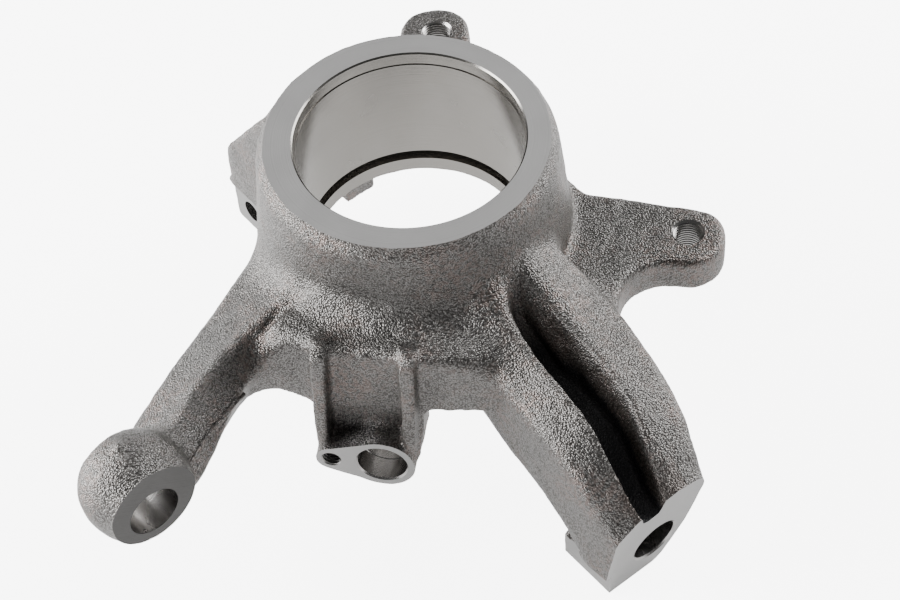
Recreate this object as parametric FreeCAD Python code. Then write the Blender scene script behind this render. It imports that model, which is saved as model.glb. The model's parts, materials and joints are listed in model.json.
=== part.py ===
import FreeCAD, Part
import math
import os

os.makedirs("parts", exist_ok=True)

V = FreeCAD.Vector
WHEEL_AXIS = V(0, 0, 1)

# Heights are measured from the machined hub face, down is negative.
# The finished casting is moved up at the end, so that the middle of the bearing seat is the origin.

# Hub ring
FACE_RADIUS = 52.0
RIM_RADIUS = 55.2
RIM_DROP = 5.0
RIM_ROUND = 6.0
RING_FOOT_RADIUS = 60.8
RING_HEIGHT = 62.4
RING_SHIFT = 1.0

# Bearing bore
ENTRY_RADIUS = 42.5
ENTRY_DEPTH = 5.7
ENTRY_CHAMFER = 1.0
SEAT_RADIUS = 42.0
SEAT_LENGTH = 47.1
GROOVE_RADIUS = 43.8
GROOVE_WIDTH = 3.5
LIP_RADIUS = 41.2

# Directions round the wheel axis, in degrees
KING_AZIMUTH = -55.0
CHANNEL_AZIMUTH = -58.7
STEER_AZIMUTH = -121.0
SENSOR_AZIMUTH = -103.5
NEAR_EAR_AZIMUTH = -10.5
FAR_EAR_AZIMUTH = 81.9

# Web and skirt between the two arms, with the edge radius at the left, in the middle and at the right
WEB_TOP = -33.0
WEB_THICKNESS = 11.0
WEB_COVE = 15.0
WEB_EDGE_ROUND = 8.0
WEB_EDGE = (77.0, 75.0, 77.5)
WEB_CORNER = 12.0
SKIRT_EDGE = (82.0, 77.5, 79.0)
SKIRT_CORNER = 17.0
SKIRT_FOOT = -60.5
SKIRT_WALL = 8.0

# Caliper ears
NEAR_EAR_HOLE_FROM_AXIS = 101.0
FAR_EAR_HOLE_FROM_AXIS = 98.8
EAR_TOP = -45.0
EAR_THICKNESS = 15.0
EAR_TIP_RADIUS = 13.8
EAR_EDGE_ROUND = 2.5
EAR_BASE_FROM_AXIS = 40.0
EAR_BASE_INNER = 28.0
EAR_BASE_OUTER = 46.0
EAR_ROOT_FROM_AXIS = 59.5
EAR_ROOT_HALF_WIDTH = 18.5
EAR_BAY_FROM_AXIS = 78.0
EAR_BAY_HALF_WIDTH = 15.5
EAR_BAY_ROUND = 17.0
EAR_ROOT_COVE = 2.5
EAR_SPOT_RADIUS = 13.0
EAR_SPOT_HEIGHT = 1.5
EAR_THREAD_RADIUS = 5.4

# Sensor boss with its two ribs
SENSOR_FACE_FROM_AXIS = 88.3
SENSOR_HEIGHT = -79.7
SENSOR_BORE_RADIUS = 9.1
SENSOR_BORE_CHAMFER = 0.8
SENSOR_BOSS_RADIUS = 12.2
SENSOR_BOSS_DEPTH = 24.0
SENSOR_SCREW_SPACING = 18.9
SENSOR_SCREW_RADIUS = 3.35
SENSOR_SCREW_DEPTH = 16.0
SENSOR_SCREW_BOSS_RADIUS = 5.9
SENSOR_NECK_RIGHT = 11.0
RIB_ROOT_WIDTH = 6.6
RIB_CREST_WIDTH = 4.4
RIB_LEFT = 21.9
RIB_RIGHT = 10.3
RIB_TOP = -31.0
RIB_HEAD_FROM_AXIS = 78.5
RIB_FOOT_FROM_AXIS = 86.5
RIB_FOOT = -69.0

# Steering arm and its ball
STEER_OFFSET = 35.3
STEER_LENGTH = 147.5
STEER_LEFT_EDGE = -51.9
STEER_UNDERCUT = 5.0
STEER_ROOT_ROUND = 14.0
STEER_HOLE_HEIGHT = -50.5
STEER_BALL_RADIUS = 20.2
STEER_BALL_RISE = 3.0
STEER_BALL_SHIFT = -0.5
STEER_FACE_OFFSET = 12.0
STEER_FACE_RADIUS = 17.0
STEER_TAPER_LARGE_RADIUS = 10.0
STEER_TAPER_SMALL_RADIUS = 8.6
# Steering arm: distance along it, left edge height, ridge across and height, right edge across and height, foot
STEER_STATIONS = [
    (10.0, -46.0, -3.0, -20.0, 5.0, -34.0, -60.0),
    (34.0, -48.0, -9.5, -25.0, -1.0, -36.0, -60.0),
    (52.0, -50.0, -15.5, -30.0, -8.0, -41.0, -61.0),
    (76.0, -50.0, -26.5, -36.0, -17.0, -44.0, -62.0),
    (111.0, -50.0, -31.0, -38.0, -19.5, -49.0, -62.5),
    (142.0, -50.5, -32.5, -38.5, -19.5, -50.0, -62.5),
]

# Channel arm: distance from the axis, flange top, left edge and its drop, right edge and its drop, foot, foot left
CHANNEL_STATIONS = [
    (40.0, -14.0, 14.0, 6.0, 17.0, 8.0, -58.0, 20.0),
    (66.0, -26.5, 22.5, 7.5, 30.0, 9.0, -66.0, 25.0),
    (88.0, -35.0, 22.5, 7.5, 31.0, 6.5, -76.0, 25.0),
    (104.0, -37.5, 22.7, 7.7, 29.0, 5.0, -82.0, 24.0),
    (119.0, -41.5, 22.5, 7.7, 27.0, 4.0, -88.0, 24.0),
    (133.0, -50.0, 21.8, 8.0, 24.0, 3.5, -98.0, 24.5),
    (154.0, -68.0, 19.0, 7.0, 18.5, 3.0, -108.0, 20.5),
]
CHANNEL_CREST = 0.4
CHANNEL_ROUND = 6.0
CHANNEL_ROOT_ROUND = 10.0
SLOT_FLOOR_HALF_WIDTH = 4.5
# Channel: distance from the axis, flange top, edges left and right, depth
SLOT_STATIONS = [
    (59.0, -19.0, 1.5, 4.5, 6.0),
    (64.0, -23.0, 3.8, 5.5, 11.0),
    (70.0, -27.5, 6.0, 6.5, 15.0),
    (88.0, -35.0, 8.0, 8.8, 17.0),
    (104.0, -37.5, 8.0, 9.5, 17.0),
    (119.0, -41.5, 8.5, 8.5, 17.0),
    (133.0, -50.0, 9.5, 5.0, 16.5),
    (142.0, -57.0, 9.5, 3.0, 12.0),
    (149.0, -63.5, 9.0, 2.0, 5.0),
]

# End block of the channel arm
END_HOLE_FROM_AXIS = 143.5
END_HOLE_HEIGHT = -90.0
END_HOLE_RADIUS = 9.3
END_HOLE_TILT = 8.0
END_HOLE_DEPTH = 27.0
END_FOOT = -107.2
END_PAD_HEIGHT = 12.7
END_PAD_BACK = 116.5
END_PAD_LEFT = 29.0
END_PAD_RISE = 10.0
END_ROUND_RADIUS = 14.8
END_KEEL = 3.0
END_SHOULDER = -58.0
END_SHOULDER_OUT = 24.0

# Clamp lug
LUG_REACH = 82.0
LUG_BACK = 60.0
LUG_SHOULDER = -49.5
LUG_FOOT = -88.0
LUG_LEFT = 29.7
LUG_RIGHT = 21.0
LUG_OVERHANG = 3.5
LUG_CORNER = 7.0
LUG_MILL_HEIGHT = 23.5
LUG_ROOT_TOP = -3.0
LUG_ROOT_FROM_AXIS = 46.0
LUG_BOLT_FROM_AXIS = 70.9
LUG_BOLT_HEIGHT = -78.4
LUG_BOLT_RADIUS = 4.6

# How far a cutting tool reaches beyond the casting
TOOL_REACH = 40.0


def corner_arc(before, corner, after, radius):
    """Return the start, middle and end of the arc that rounds a corner."""
    to_before = (before - corner).normalize()
    to_after = (after - corner).normalize()
    half = to_before.getAngle(to_after) / 2
    reach = radius / math.tan(half)
    bisector = (to_before + to_after).normalize()
    start = corner + to_before * reach
    end = corner + to_after * reach
    middle = corner + bisector * (radius / math.sin(half) - radius)
    return start, middle, end


def outline(points, plane):
    """Return a closed wire through corners (a, b, radius) that lie in the XY, XZ or YZ plane."""
    place = {
        "XY": lambda a, b: V(a, b, 0),
        "XZ": lambda a, b: V(a, 0, b),
        "YZ": lambda a, b: V(0, a, b),
    }[plane]
    corners = [place(a, b) for a, b, radius in points]
    count = len(points)
    rounds = []
    for i in range(count):
        radius = points[i][2]
        if radius > 0:
            rounds.append(corner_arc(corners[i - 1], corners[i], corners[(i + 1) % count], radius))
        else:
            rounds.append((corners[i], corners[i], corners[i]))
    edges = []
    for i in range(count):
        start, middle, end = rounds[i]
        if points[i][2] > 0:
            edges.append(Part.Arc(start, middle, end).toShape())
        following = rounds[(i + 1) % count][0]
        edges.append(Part.LineSegment(end, following).toShape())
    return Part.Wire(edges)


def extruded(wire, start, length):
    """Return the prism of a wire that is first moved to start and then swept along length."""
    face = Part.Face(wire)
    face.translate(start)
    return face.extrude(length)


def revolved(points, first_azimuth=0.0, sweep=360.0):
    """Return the body that a (radius, height, corner) profile makes round the wheel axis."""
    face = Part.Face(outline(points, "XZ"))
    face.rotate(V(0, 0, 0), WHEEL_AXIS, first_azimuth)
    return face.revolve(V(0, 0, 0), WHEEL_AXIS, sweep)


def turned(shape, azimuth):
    """Turn a shape that is built along X to its own direction round the wheel axis."""
    shape.rotate(V(0, 0, 0), WHEEL_AXIS, azimuth)
    return shape


def lofted(sections):
    """Return a smooth body through (distance along X, wire in the YZ plane) sections."""
    wires = []
    for along, wire in sections:
        wire.translate(V(along, 0, 0))
        wires.append(wire)
    return Part.makeLoft(wires, True)


def hull(centre_a, radius_a, centre_b, radius_b):
    """Return the belt-shaped wire round two circles in the YZ plane, given as (y, z) centres."""
    start = V(0, centre_a[0], centre_a[1])
    end = V(0, centre_b[0], centre_b[1])
    line = end - start
    length = line.Length
    along = line / length
    across = V(1, 0, 0).cross(along)
    lean = (radius_a - radius_b) / length
    rise = math.sqrt(1 - lean * lean)
    upper = along * lean + across * rise
    lower = along * lean - across * rise
    return Part.Wire([
        Part.LineSegment(start + upper * radius_a, end + upper * radius_b).toShape(),
        Part.Arc(end + upper * radius_b, end + along * radius_b, end + lower * radius_b).toShape(),
        Part.LineSegment(end + lower * radius_b, start + lower * radius_a).toShape(),
        Part.Arc(start + lower * radius_a, start - along * radius_a, start + upper * radius_a).toShape(),
    ])


def polar(radius, azimuth):
    """Return the (x, y) point at a distance from the wheel axis in a given direction."""
    angle = math.radians(azimuth)
    return radius * math.cos(angle), radius * math.sin(angle)


def arm_point(along, across, azimuth):
    """Return the (x, y) point beside an arm, across is positive to the arm's left."""
    angle = math.radians(azimuth)
    return (along * math.cos(angle) - across * math.sin(angle),
            along * math.sin(angle) + across * math.cos(angle))


def hub_blank():
    blank = revolved([
        (0.0, 0.0, 0.0),
        (FACE_RADIUS, 0.0, 0.0),
        (RIM_RADIUS, -RIM_DROP, RIM_ROUND),
        (RING_FOOT_RADIUS, -RING_HEIGHT, 3.0),
        (0.0, -RING_HEIGHT, 0.0),
    ])
    blank.translate(V(-RING_SHIFT, 0, 0))
    return blank


def root_edges(body):
    """Find the edges where an arm leaves the flank of the ring."""
    lean = (RING_FOOT_RADIUS - RIM_RADIUS) / (RING_HEIGHT - RIM_DROP)
    found = []
    for edge in body.Edges:
        first, last = edge.FirstParameter, edge.LastParameter
        places = [edge.valueAt(first), edge.valueAt((first + last) / 2), edge.valueAt(last)]
        gaps = [
            abs(math.hypot(place.x + RING_SHIFT, place.y) - RIM_RADIUS + lean * (place.z + RIM_DROP))
            for place in places
        ]
        joins_two_faces = len(body.ancestorsOfType(edge, Part.Face)) == 2
        if max(gaps) < 0.1 and edge.BoundBox.ZLength > 0.1 and joins_two_faces:
            found.append(edge)
    return found


def rooted(ring, arm, radius):
    """Join an arm to the ring with a round where it leaves the flank."""
    known = [edge.CenterOfMass for edge in root_edges(ring)]
    body = ring.fuse(arm)
    fresh = [
        edge for edge in root_edges(body)
        if all(edge.CenterOfMass.distanceToPoint(place) > 0.01 for place in known)
    ]
    return body.makeFillet(radius, fresh)


def bearing_bore():
    seat_foot = -ENTRY_DEPTH - SEAT_LENGTH
    groove_foot = seat_foot - GROOVE_WIDTH
    return revolved([
        (0.0, ENTRY_CHAMFER, 0.0),
        (ENTRY_RADIUS + 2 * ENTRY_CHAMFER, ENTRY_CHAMFER, 0.0),
        (ENTRY_RADIUS, -ENTRY_CHAMFER, 0.0),
        (ENTRY_RADIUS, -ENTRY_DEPTH, 0.0),
        (SEAT_RADIUS, -ENTRY_DEPTH, 0.0),
        (SEAT_RADIUS, seat_foot, 0.0),
        (GROOVE_RADIUS, seat_foot, 0.0),
        (GROOVE_RADIUS, groove_foot, 0.0),
        (LIP_RADIUS, groove_foot, 0.0),
        (LIP_RADIUS, -RING_HEIGHT - 1.0, 0.0),
        (0.0, -RING_HEIGHT - 1.0, 0.0),
    ])


def web_plan(edge, corner, height):
    """Plan of the web at one height, with its two ends buried in the arms."""
    left, middle, right = edge
    corners = [
        (*polar(SEAT_RADIUS + 3.0, -100.0), 0.0),
        (*arm_point(SEAT_RADIUS, -9.0, STEER_AZIMUTH), 0.0),
        (*arm_point(left + 9.0, -corner - 13.0, STEER_AZIMUTH), 0.0),
        (*arm_point(left + 9.0, -corner - 8.0, STEER_AZIMUTH), 0.0),
        (*arm_point(left, -corner, STEER_AZIMUTH), 8.0),
        (*polar(left, -121.0), 12.0),
        (*polar(middle, -103.0), 50.0),
        (*polar(right, -88.0), 30.0),
        (*arm_point(right + 4.0, -21.5, CHANNEL_AZIMUTH), 12.0),
        (*arm_point(right + 16.0, -20.0, CHANNEL_AZIMUTH), 0.0),
        (*arm_point(right + 16.0, -14.0, CHANNEL_AZIMUTH), 0.0),
        (*arm_point(SEAT_RADIUS, 0.0, CHANNEL_AZIMUTH), 0.0),
    ]
    wire = outline(corners, "XY")
    wire.translate(V(0, 0, height))
    return wire


def web():
    top = web_plan(WEB_EDGE, WEB_CORNER, WEB_TOP)
    foot = web_plan(SKIRT_EDGE, SKIRT_CORNER, SKIRT_FOOT)
    body = Part.makeLoft([foot, top], True, True)
    crest = WEB_EDGE[0] - 1.0
    fall = WEB_TOP - SKIRT_FOOT
    cap = revolved([
        (0.0, SKIRT_FOOT - 1.0, 0.0),
        (0.0, WEB_TOP, 0.0),
        (crest, WEB_TOP, WEB_EDGE_ROUND),
        (crest + fall, SKIRT_FOOT, 0.0),
        (crest + fall, SKIRT_FOOT - 1.0, 0.0),
    ])
    wall = WEB_EDGE[1] - SKIRT_WALL
    cavity = revolved([
        (RING_FOOT_RADIUS, SKIRT_FOOT - 1.0, 0.0),
        (RING_FOOT_RADIUS, WEB_TOP - WEB_THICKNESS, 2.5),
        (wall, WEB_TOP - WEB_THICKNESS, 2.5),
        (wall + 2.0, SKIRT_FOOT - 1.0, 0.0),
    ], -130.0, 50.0)
    return body.common(cap).cut(cavity)


def web_cove():
    """The large round between the ring and the web, all the way between the arms."""
    flank = RIM_RADIUS + 3.0
    edge = flank + 0.95 * WEB_COVE
    return revolved([
        (SEAT_RADIUS + 3.0, WEB_TOP - 2.0, 0.0),
        (SEAT_RADIUS + 3.0, -8.0, 0.0),
        (RIM_RADIUS, -8.0, 0.0),
        (flank, WEB_TOP, WEB_COVE),
        (edge, WEB_TOP, 0.0),
        (edge, WEB_TOP - 2.0, 0.0),
    ], -134.0, 72.0)


def channel_arm():
    sections = []
    for along, top, left, left_drop, right, right_drop, foot, foot_left in CHANNEL_STATIONS:
        wire = outline([
            (-foot_left, foot, CHANNEL_ROUND),
            (-left, top - left_drop, CHANNEL_ROUND),
            (-CHANNEL_CREST * left, top, CHANNEL_ROUND),
            (CHANNEL_CREST * right, top, CHANNEL_ROUND),
            (right, top - right_drop, CHANNEL_ROUND),
            (right + 1.0, foot, CHANNEL_ROUND),
        ], "YZ")
        sections.append((along, wire))
    return turned(lofted(sections), CHANNEL_AZIMUTH)


def channel_slot():
    sections = []
    for along, top, left, right, depth in SLOT_STATIONS:
        floor = top - depth
        middle = (right - left) / 2 - 1.0
        half = min(SLOT_FLOOR_HALF_WIDTH, (right + left) / 3)
        wire = outline([
            (middle - half, floor, 2.0),
            (-left, top, 0.0),
            (-left, top + 20.0, 0.0),
            (right, top + 20.0, 0.0),
            (right, top, 0.0),
            (middle + half, floor, 2.0),
        ], "YZ")
        sections.append((along, wire))
    return turned(lofted(sections), CHANNEL_AZIMUTH)


def king_direction(tilt=0.0):
    azimuth = math.radians(KING_AZIMUTH)
    lean = math.radians(tilt)
    return V(math.cos(azimuth) * math.cos(lean), math.sin(azimuth) * math.cos(lean), -math.sin(lean))


def end_hole_place():
    return turned_point(V(END_HOLE_FROM_AXIS, 0, END_HOLE_HEIGHT), CHANNEL_AZIMUTH)


def turned_point(point, azimuth):
    return FreeCAD.Rotation(WHEEL_AXIS, azimuth).multVec(point)


def end_face_cutter():
    """Everything beyond the milled end face of the channel arm."""
    return Part.makeCylinder(2 * TOOL_REACH, TOOL_REACH, end_hole_place(), king_direction(END_HOLE_TILT))


def end_hole():
    axis = king_direction(END_HOLE_TILT)
    start = end_hole_place() - axis * END_HOLE_DEPTH
    return Part.makeCylinder(END_HOLE_RADIUS, END_HOLE_DEPTH + TOOL_REACH, start, axis)


def end_pad():
    """The milled foot block under the end of the channel arm, in the kingpin direction."""
    centre = turned_point(end_hole_place(), -KING_AZIMUTH)
    pad_top = END_FOOT + END_PAD_HEIGHT
    body = outline([
        (-END_PAD_LEFT, END_FOOT, 0.0),
        (-END_PAD_LEFT, pad_top, 0.0),
        (centre.y, pad_top + END_PAD_RISE, 0.0),
        (centre.y + END_ROUND_RADIUS, centre.z, 8.0),
        (centre.y + END_KEEL, END_FOOT, 6.0),
    ], "YZ")
    return turned(extruded(body, V(END_PAD_BACK, 0, 0), V(TOOL_REACH, 0, 0)), KING_AZIMUTH)


def end_trims():
    """The bottom plane, the milled left flank and the rounded right flank of the end block."""
    centre = turned_point(end_hole_place(), -KING_AZIMUTH)
    bottom = Part.makeBox(
        2 * TOOL_REACH, 3 * TOOL_REACH, TOOL_REACH,
        V(END_PAD_BACK - TOOL_REACH, -1.5 * TOOL_REACH, END_FOOT - TOOL_REACH))
    flank = Part.makeBox(
        TOOL_REACH, TOOL_REACH, END_PAD_HEIGHT, V(END_PAD_BACK, -END_PAD_LEFT - TOOL_REACH, END_FOOT))
    right = extruded(outline([
        (centre.y + END_SHOULDER_OUT, END_SHOULDER, 0.0),
        (centre.y + END_SHOULDER_OUT - 2.5, END_SHOULDER - 12.0, 6.0),
        (centre.y + END_ROUND_RADIUS, centre.z, 12.0),
        (centre.y + END_KEEL, END_FOOT - 1.0, 0.0),
        (centre.y + END_SHOULDER_OUT + TOOL_REACH, END_FOOT - 1.0, 0.0),
        (centre.y + END_SHOULDER_OUT + TOOL_REACH, END_SHOULDER, 0.0),
    ], "YZ"), V(END_PAD_BACK + 4.0, 0, 0), V(TOOL_REACH, 0, 0))
    return turned(bottom.fuse([flank, right]), KING_AZIMUTH)


def steering_arm():
    sections = []
    for along, left_height, ridge, ridge_height, right, right_height, foot in STEER_STATIONS:
        wire = outline([
            (STEER_LEFT_EDGE, left_height, 4.0),
            (ridge, ridge_height, 4.0),
            (right, right_height, 2.0),
            (right - STEER_UNDERCUT, foot, 4.0),
            (STEER_LEFT_EDGE + STEER_UNDERCUT, foot, 5.0),
        ], "YZ")
        sections.append((along, wire))
    return turned(lofted(sections), STEER_AZIMUTH)


def steer_hole_place():
    return turned_point(V(STEER_LENGTH, -STEER_OFFSET, STEER_HOLE_HEIGHT), STEER_AZIMUTH)


def steering_ball():
    """A ball whose front side runs on as a cone that is tangent to it, up to the milled face."""
    radius = STEER_BALL_RADIUS
    reach = math.hypot(STEER_FACE_OFFSET, STEER_FACE_RADIUS)
    lean = math.atan2(STEER_FACE_OFFSET, STEER_FACE_RADIUS) - math.acos(radius / reach)
    back = math.asin(STEER_FACE_OFFSET / radius)
    back_corner = V(radius * math.cos(back), 0, -STEER_FACE_OFFSET)
    tangent = V(radius * math.cos(lean), 0, radius * math.sin(lean))
    front_corner = V(STEER_FACE_RADIUS, 0, STEER_FACE_OFFSET)
    profile = Part.Wire([
        Part.LineSegment(V(0, 0, -STEER_FACE_OFFSET), back_corner).toShape(),
        Part.Arc(back_corner, V(radius, 0, 0), tangent).toShape(),
        Part.LineSegment(tangent, front_corner).toShape(),
        Part.LineSegment(front_corner, V(0, 0, STEER_FACE_OFFSET)).toShape(),
        Part.LineSegment(V(0, 0, STEER_FACE_OFFSET), V(0, 0, -STEER_FACE_OFFSET)).toShape(),
    ])
    ball = Part.Face(profile).revolve(V(0, 0, 0), WHEEL_AXIS, 360.0)
    axis = king_direction()
    side = V(axis.y, -axis.x, 0)
    centre = steer_hole_place() + side * STEER_BALL_SHIFT + WHEEL_AXIS * STEER_BALL_RISE
    ball.Placement = FreeCAD.Placement(centre, FreeCAD.Rotation(WHEEL_AXIS, axis))
    return ball


def steering_taper():
    axis = king_direction()
    return Part.makeCone(
        STEER_TAPER_SMALL_RADIUS, STEER_TAPER_LARGE_RADIUS, 2 * STEER_FACE_OFFSET + 2.0,
        steer_hole_place() - axis * (STEER_FACE_OFFSET + 1.0), axis)


def ear_outline(hole, inner_side):
    """Plan of an ear along X. The inner side faces the other ear and runs straight to the hub."""
    tip = hole + EAR_TIP_RADIUS
    side = inner_side
    return outline([
        (EAR_BASE_FROM_AXIS, side * EAR_BASE_INNER, 0.0),
        (EAR_ROOT_FROM_AXIS - 9.5, side * EAR_BASE_INNER, 0.0),
        (EAR_ROOT_FROM_AXIS, side * EAR_ROOT_HALF_WIDTH, 8.0),
        (tip, side * EAR_TIP_RADIUS * 0.8, EAR_TIP_RADIUS * 0.85),
        (tip, -side * EAR_TIP_RADIUS * 1.05, EAR_TIP_RADIUS * 0.95),
        (EAR_BAY_FROM_AXIS, -side * EAR_BAY_HALF_WIDTH, EAR_BAY_ROUND),
        (EAR_BAY_FROM_AXIS, -side * EAR_BASE_OUTER, 0.0),
        (EAR_BASE_FROM_AXIS, -side * EAR_BASE_OUTER, 0.0),
    ], "XY")


def ear(azimuth, hole, inner_side):
    foot = EAR_TOP - EAR_THICKNESS
    plan = extruded(ear_outline(hole, inner_side), V(0, 0, foot), V(0, 0, EAR_THICKNESS))
    tall = extruded(ear_outline(hole, inner_side), V(0, 0, foot), V(0, 0, 2 * EAR_THICKNESS))
    top_edges = [
        edge for edge in plan.Edges
        if edge.BoundBox.ZMin > EAR_TOP - 0.01 and edge.BoundBox.XMin > EAR_BASE_FROM_AXIS + 5.0
    ]
    plate = plan.makeFillet(EAR_EDGE_ROUND, top_edges)
    flank = RIM_RADIUS + 3.0
    cove = revolved([
        (EAR_BASE_FROM_AXIS + 5.0, EAR_TOP - EAR_ROOT_COVE, 0.0),
        (EAR_BASE_FROM_AXIS + 5.0, EAR_TOP + 3 * EAR_ROOT_COVE, 0.0),
        (flank - EAR_ROOT_COVE / 2, EAR_TOP + 3 * EAR_ROOT_COVE, 0.0),
        (flank, EAR_TOP, EAR_ROOT_COVE),
        (flank + 2 * EAR_ROOT_COVE, EAR_TOP, 0.0),
        (flank + 2 * EAR_ROOT_COVE, EAR_TOP - EAR_ROOT_COVE, 0.0),
    ], -40.0, 80.0).common(tall)
    spot = Part.makeCylinder(
        EAR_SPOT_RADIUS, EAR_SPOT_HEIGHT + 1.0, V(hole, 0, foot - EAR_SPOT_HEIGHT))
    return turned(plate.fuse([cove, spot]), azimuth)


def ear_hole(azimuth, hole):
    foot = EAR_TOP - EAR_THICKNESS - EAR_SPOT_HEIGHT - 1.0
    thread = Part.makeCylinder(
        EAR_THREAD_RADIUS, EAR_THICKNESS + EAR_SPOT_HEIGHT + 2.0, V(hole, 0, foot))
    return turned(thread, azimuth)


def sensor_rib(across, back):
    """A rib down the front of the skirt, wide at its root and narrow at its crest."""
    root = RIB_ROOT_WIDTH / 2
    crest = RIB_CREST_WIDTH / 2
    plan = extruded(outline([
        (back, across - root, 0.0),
        (WEB_EDGE[1], across - root, 0.0),
        (RIB_FOOT_FROM_AXIS, across - crest, 2.0),
        (RIB_FOOT_FROM_AXIS, across + crest, 2.0),
        (WEB_EDGE[1], across + root, 0.0),
        (back, across + root, 0.0),
    ], "XY"), V(0, 0, SENSOR_HEIGHT), V(0, 0, RIB_TOP - SENSOR_HEIGHT))
    side = extruded(outline([
        (back, RIB_TOP - 5.0, 0.0),
        (RIB_HEAD_FROM_AXIS - 7.0, RIB_TOP, 3.0),
        (RIB_HEAD_FROM_AXIS, RIB_TOP - 1.0, 5.0),
        (RIB_FOOT_FROM_AXIS, RIB_FOOT, 0.0),
        (RIB_FOOT_FROM_AXIS, SENSOR_HEIGHT, 0.0),
        (back, SENSOR_HEIGHT, 0.0),
    ], "XZ"), V(0, across - root, 0), V(0, 2 * root, 0))
    return plan.common(side)


def sensor_boss():
    face = SENSOR_FACE_FROM_AXIS
    back = face - SENSOR_BOSS_DEPTH
    body = extruded(
        hull((0.0, SENSOR_HEIGHT), SENSOR_BOSS_RADIUS,
             (-SENSOR_SCREW_SPACING, SENSOR_HEIGHT), SENSOR_SCREW_BOSS_RADIUS),
        V(back, 0, 0), V(SENSOR_BOSS_DEPTH, 0, 0))
    left = SENSOR_SCREW_SPACING + SENSOR_SCREW_BOSS_RADIUS
    neck = extruded(outline([
        (back, WEB_TOP - 6.0, 0.0),
        (WEB_EDGE[1], WEB_TOP - 6.0, 0.0),
        (SKIRT_EDGE[1], SKIRT_FOOT, 0.0),
        (SKIRT_EDGE[1], SENSOR_HEIGHT, 0.0),
        (back, SENSOR_HEIGHT, 0.0),
    ], "XZ"), V(0, -left, 0), V(0, left + SENSOR_NECK_RIGHT, 0))
    ribs = [sensor_rib(-RIB_LEFT, back), sensor_rib(RIB_RIGHT, back)]
    return turned(body.fuse([neck] + ribs), SENSOR_AZIMUTH)


def sensor_holes():
    face = SENSOR_FACE_FROM_AXIS
    outward = V(1, 0, 0)
    bore = Part.makeCylinder(
        SENSOR_BORE_RADIUS, 2 * TOOL_REACH, V(face - 1.2 * TOOL_REACH, 0, SENSOR_HEIGHT), outward)
    mouth = Part.makeCone(
        SENSOR_BORE_RADIUS, SENSOR_BORE_RADIUS + 2 * SENSOR_BORE_CHAMFER, 2 * SENSOR_BORE_CHAMFER,
        V(face - SENSOR_BORE_CHAMFER, 0, SENSOR_HEIGHT), outward)
    screw = Part.makeCylinder(
        SENSOR_SCREW_RADIUS, SENSOR_SCREW_DEPTH + TOOL_REACH,
        V(face - SENSOR_SCREW_DEPTH, -SENSOR_SCREW_SPACING, SENSOR_HEIGHT), outward)
    return turned(bore.fuse([mouth, screw]), SENSOR_AZIMUTH)


def lug():
    depth = LUG_LEFT + LUG_RIGHT + 2 * LUG_OVERHANG
    under = LUG_FOOT + LUG_MILL_HEIGHT + 5.0
    body = extruded(outline([
        (SEAT_RADIUS - 2.0, LUG_ROOT_TOP, 0.0),
        (LUG_ROOT_FROM_AXIS, LUG_ROOT_TOP, 0.0),
        (LUG_REACH, LUG_SHOULDER, LUG_CORNER),
        (LUG_REACH, LUG_FOOT, 2.0),
        (LUG_BACK, LUG_FOOT, 3.0),
        (LUG_BACK - 4.0, under, 0.0),
        (SEAT_RADIUS - 2.0, under, 0.0),
    ], "XZ"), V(0, -LUG_RIGHT - LUG_OVERHANG, 0), V(0, depth, 0))
    plan = extruded(outline([
        (0.0, LUG_LEFT + LUG_OVERHANG, 0.0),
        (LUG_REACH, LUG_LEFT + LUG_OVERHANG, LUG_CORNER),
        (LUG_REACH, -LUG_RIGHT - LUG_OVERHANG, LUG_CORNER),
        (0.0, -LUG_RIGHT - LUG_OVERHANG, 0.0),
    ], "XY"), V(0, 0, LUG_FOOT), V(0, 0, -LUG_FOOT))
    body = body.common(plan)
    for start in (LUG_LEFT, -LUG_RIGHT - TOOL_REACH):
        body = body.cut(Part.makeBox(
            2 * TOOL_REACH, TOOL_REACH, LUG_MILL_HEIGHT, V(LUG_BACK - 10.0, start, LUG_FOOT)))
    return turned(body, KING_AZIMUTH + 180)


def lug_holes():
    bolt = Part.makeCylinder(
        LUG_BOLT_RADIUS, 2.5 * TOOL_REACH,
        V(LUG_BOLT_FROM_AXIS, -1.25 * TOOL_REACH, LUG_BOLT_HEIGHT), V(0, 1, 0))
    return turned(bolt, KING_AZIMUTH + 180)


knuckle = rooted(hub_blank(), steering_arm(), STEER_ROOT_ROUND)
knuckle = rooted(knuckle, channel_arm(), CHANNEL_ROOT_ROUND)
added = [
    web(), web_cove(), end_pad(), steering_ball(),
    ear(NEAR_EAR_AZIMUTH, NEAR_EAR_HOLE_FROM_AXIS, 1), ear(FAR_EAR_AZIMUTH, FAR_EAR_HOLE_FROM_AXIS, -1),
    sensor_boss(), lug(),
]
knuckle = knuckle.fuse(added)
removed = [
    bearing_bore(), channel_slot(), end_face_cutter(), end_hole(), end_trims(), steering_taper(),
    ear_hole(NEAR_EAR_AZIMUTH, NEAR_EAR_HOLE_FROM_AXIS), ear_hole(FAR_EAR_AZIMUTH, FAR_EAR_HOLE_FROM_AXIS),
    sensor_holes(), lug_holes(),
]
knuckle = knuckle.cut(removed)
knuckle.translate(WHEEL_AXIS * (ENTRY_DEPTH + SEAT_LENGTH / 2))
knuckle.exportStep("parts/knuckle.step")
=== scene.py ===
from math import cos, pi, radians, sin

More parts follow.
